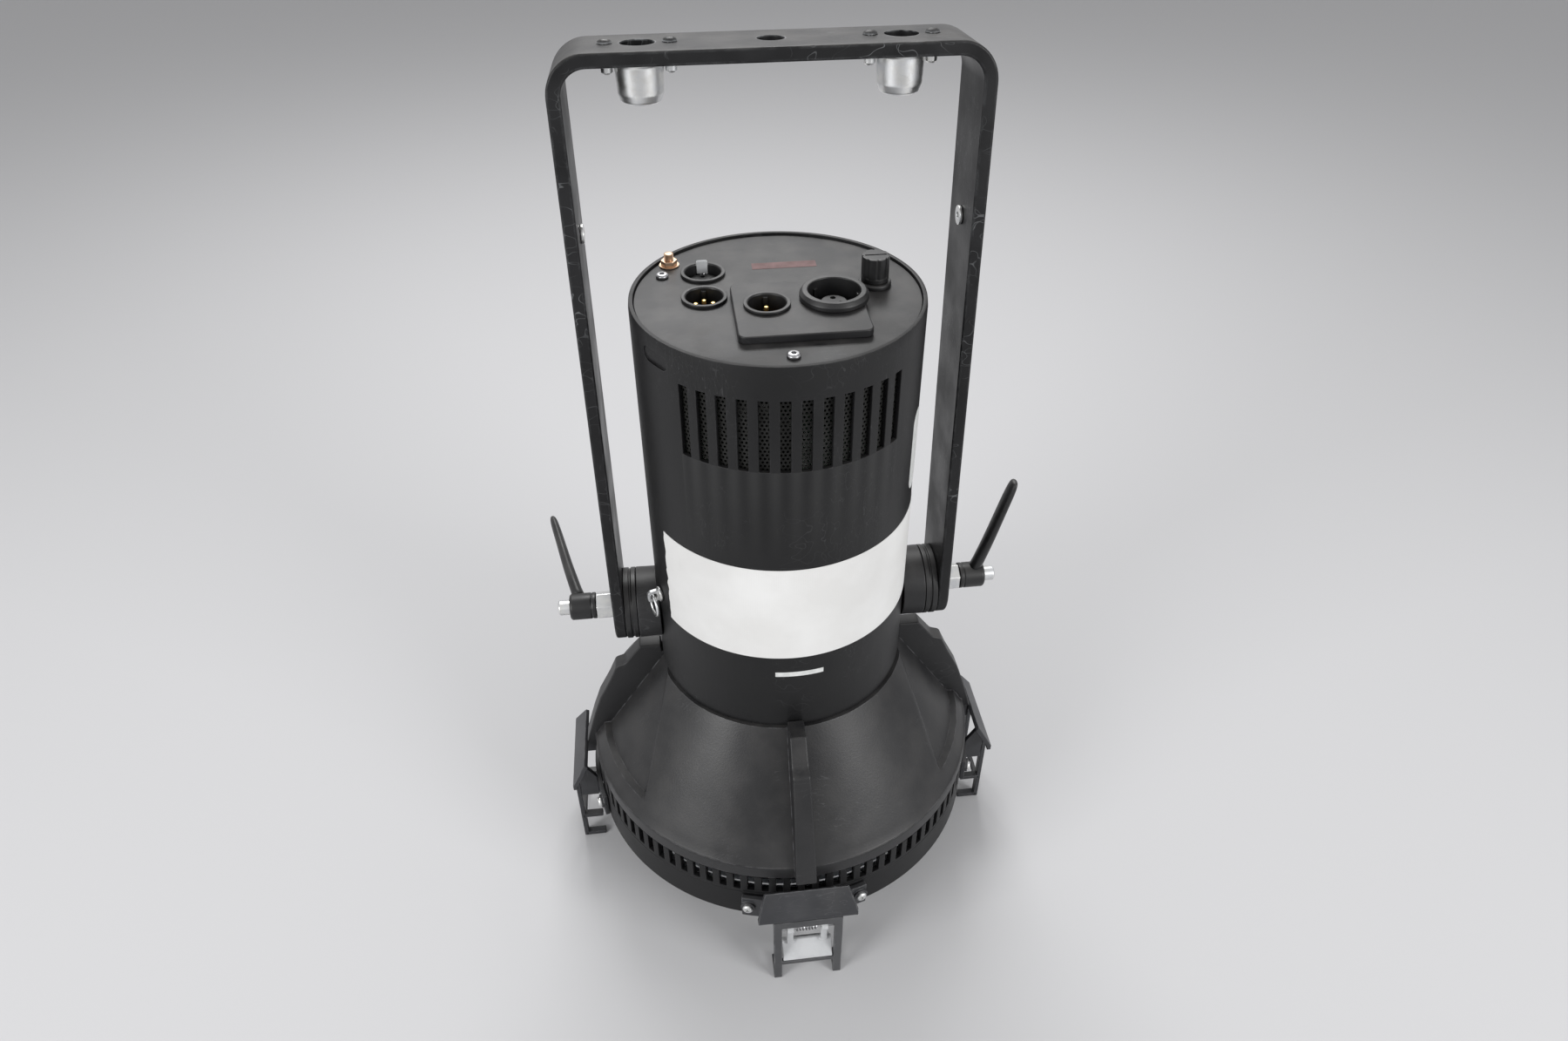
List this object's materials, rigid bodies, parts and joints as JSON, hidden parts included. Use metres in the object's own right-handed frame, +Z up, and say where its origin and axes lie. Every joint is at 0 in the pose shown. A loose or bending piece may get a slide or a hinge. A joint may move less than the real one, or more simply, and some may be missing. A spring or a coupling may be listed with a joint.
{
  "type": "led_spotlight",
  "caption": "LED theatre spotlight standing lens down on its accessory holders: ribbed cone, vented tube housing, rear socket panel, tilting yoke with clamp levers",
  "frame": {"origin": "on the table under the middle of the lens, where the feet of the four accessory holders stand", "axes": "+Z up along the housing, away from the beam; X along the yoke's tilt axis; -Y to the side with the accessory latch"},
  "size_m": [0.284, 0.284, 0.5157],
  "materials": {
    "black_coat": "semi-matt black powder coat",
    "black_plastic": "moulded black plastic",
    "grey_plastic": "moulded grey plastic",
    "black_rubber": "soft black seal",
    "circuit_board": "green solder mask",
    "phosphor": "yellow phosphor",
    "zinc": "bright zinc plating",
    "steel": "plain steel",
    "aluminium": "milled aluminium",
    "mirror": "polished and anodised",
    "gold": "gold plated contacts",
    "brass": "turned brass",
    "clear_glass": "clear"
  },
  "bodies": {
    "head": {"housing_tube": "black_coat", "cone_housing": "black_coat", "vent_comb": "black_coat", "front_ring": "black_coat", "glass_seal": "black_rubber", "front_glass": "clear_glass", "glass_retainer": "aluminium", "reflector": "mirror", "led_board": "circuit_board", "led_array": "phosphor", "heat_sink": "aluminium", "fan_frame": "black_plastic", "spacer_post_1": "steel", "spacer_post_2": "steel", "spacer_post_3": "steel", "spacer_post_4": "steel", "driver_board": "circuit_board", "driver_transformer": "black_plastic", "vent_screen_front": "steel", "vent_screen_back": "steel", "rear_panel": "black_coat", "panel_screw_1": "zinc", "panel_screw_2": "zinc", "panel_screw_3": "zinc", "connector_plate": "black_coat", "data_in_socket": "black_plastic", "data_in_contacts": "gold", "data_out_socket": "black_plastic", "control_in_socket": "black_plastic", "control_in_contacts": "gold", "power_inlet": "black_plastic", "fuse_holder": "black_plastic", "fuse_link": "clear_glass", "earth_stud": "brass", "holder_front": "black_coat", "holder_right": "black_coat", "holder_back": "black_coat", "holder_left": "black_coat", "latch_pin": "steel", "pivot_boss_right": "black_coat", "pivot_boss_left": "black_coat", "friction_disc_right": "black_plastic", "friction_disc_left": "black_plastic", "safety_lug": "zinc"},
    "yoke": {"yoke": "black_coat", "receptacle_left": "zinc", "receptacle_right": "zinc", "yoke_insert_left": "zinc", "yoke_insert_right": "zinc"},
    "stud_right": {"clamp_stud_right": "zinc", "lever_screw_right": "zinc"},
    "stud_left": {"clamp_stud_left": "zinc", "lever_screw_left": "zinc"},
    "lever_right": {"clamp_lever_right": "black_plastic"},
    "lever_left": {"clamp_lever_left": "black_plastic"},
    "latch": {"accessory_latch": "grey_plastic"},
    "fuse_cap": {"fuse_cap": "black_plastic"},
    "release_tab": {"data_release_tab": "grey_plastic"},
    "fan_rotor": {"fan_rotor": "black_plastic"},
    "safety_ring": {"safety_ring": "zinc"}
  },
  "joints": [
    {"name": "yoke_tilt", "type": "hinge", "parent": "head", "child": "yoke", "pos_m": [0, 0, 0.199], "axis": [1, 0, 0], "range_deg": [-115, 124]},
    {"name": "clamp_turn_right", "type": "hinge", "parent": "head", "child": "stud_right", "pos_m": [0.1, 0, 0.199], "axis": [1, 0, 0], "range_deg": [0, 270]},
    {"name": "clamp_turn_left", "type": "hinge", "parent": "head", "child": "stud_left", "pos_m": [-0.1, 0, 0.199], "axis": [-1, 0, 0], "range_deg": [0, 270]},
    {"name": "lever_lift_right", "type": "slide", "parent": "stud_right", "child": "lever_right", "axis": [1, 0, 0], "range_m": [0, 0.0029], "stiffness_N_per_m": 800, "springref_m": -0.001},
    {"name": "lever_lift_left", "type": "slide", "parent": "stud_left", "child": "lever_left", "axis": [-1, 0, 0], "range_m": [0, 0.0029], "stiffness_N_per_m": 800, "springref_m": -0.001},
    {"name": "latch_swing", "type": "hinge", "parent": "head", "child": "latch", "pos_m": [0, -0.137, 0.047], "axis": [-1, 0, 0], "range_deg": [0, 25], "stiffness_Nm_per_rad": 0.15, "springref_deg": -11.46},
    {"name": "fuse_cap_turn", "type": "hinge", "parent": "head", "child": "fuse_cap", "pos_m": [0.05, 0.005, 0.4015], "axis": [0, 0, 1], "range_deg": [0, 90]},
    {"name": "release_press", "type": "slide", "parent": "head", "child": "release_tab", "axis": [0, 0, -1], "range_m": [0, 0.0015], "stiffness_N_per_m": 500, "springref_m": -0.001},
    {"name": "fan_spin", "type": "hinge", "parent": "head", "child": "fan_rotor", "pos_m": [0, 0, 0.265], "axis": [0, 0, 1], "continuous": true},
    {"name": "ring_swing", "type": "hinge", "parent": "head", "child": "safety_ring", "pos_m": [-0.0765, -0.02339, 0.2232], "axis": [-0.2924, 0.9563, 0], "range_deg": [-12, 150]}
  ]
}
